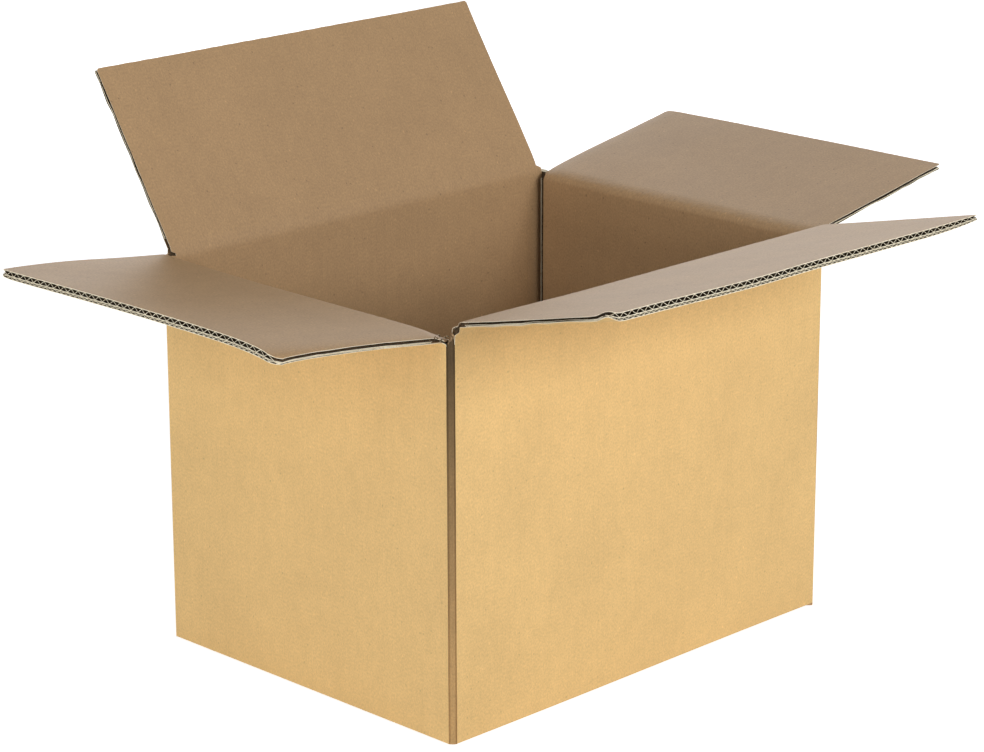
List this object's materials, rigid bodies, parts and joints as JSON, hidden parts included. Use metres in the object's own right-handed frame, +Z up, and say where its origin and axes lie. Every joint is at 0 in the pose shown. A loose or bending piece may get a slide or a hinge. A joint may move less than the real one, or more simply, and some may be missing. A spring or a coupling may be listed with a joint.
{
  "type": "open cardboard box",
  "caption": "Open slotted carton of double-wall corrugated board, glued bottom, side joint, and top flaps hinged at their folds.",
  "frame": {"origin": "on the resting plane, at the middle of the four walls in plan", "axes": "+Z up out of the open top, X along the long walls with the glued joint at +X +Y, Y across them; the front long flap is at -Y"},
  "size_m": [0.816, 0.6239, 0.5005],
  "materials": {
    "outer_liner": "matt golden kraft paper",
    "inner_liner": "matt brown kraft paper"
  },
  "bodies": {
    "box_body": {"box_body": "outer_liner"},
    "front_flap": {"front_flap": "inner_liner"},
    "right_flap": {"right_flap": "inner_liner"},
    "rear_flap": {"rear_flap": "inner_liner"},
    "left_flap": {"left_flap": "inner_liner"}
  },
  "joints": [
    {"name": "front_flap_fold", "type": "hinge", "parent": "box_body", "child": "front_flap", "pos_m": [0, -0.177, 0.3515], "axis": [1, 0, 0], "range_deg": [-167, 93]},
    {"name": "right_flap_fold", "type": "hinge", "parent": "box_body", "child": "right_flap", "pos_m": [0.23, 0, 0.344], "axis": [0, 1, 0], "range_deg": [-170.5, 64.5]},
    {"name": "rear_flap_fold", "type": "hinge", "parent": "box_body", "child": "rear_flap", "pos_m": [0, 0.177, 0.3515], "axis": [-1, 0, 0], "range_deg": [-124.3, 135.7]},
    {"name": "left_flap_fold", "type": "hinge", "parent": "box_body", "child": "left_flap", "pos_m": [-0.23, 0, 0.344], "axis": [0, -1, 0], "range_deg": [-172.5, 87.5]}
  ]
}
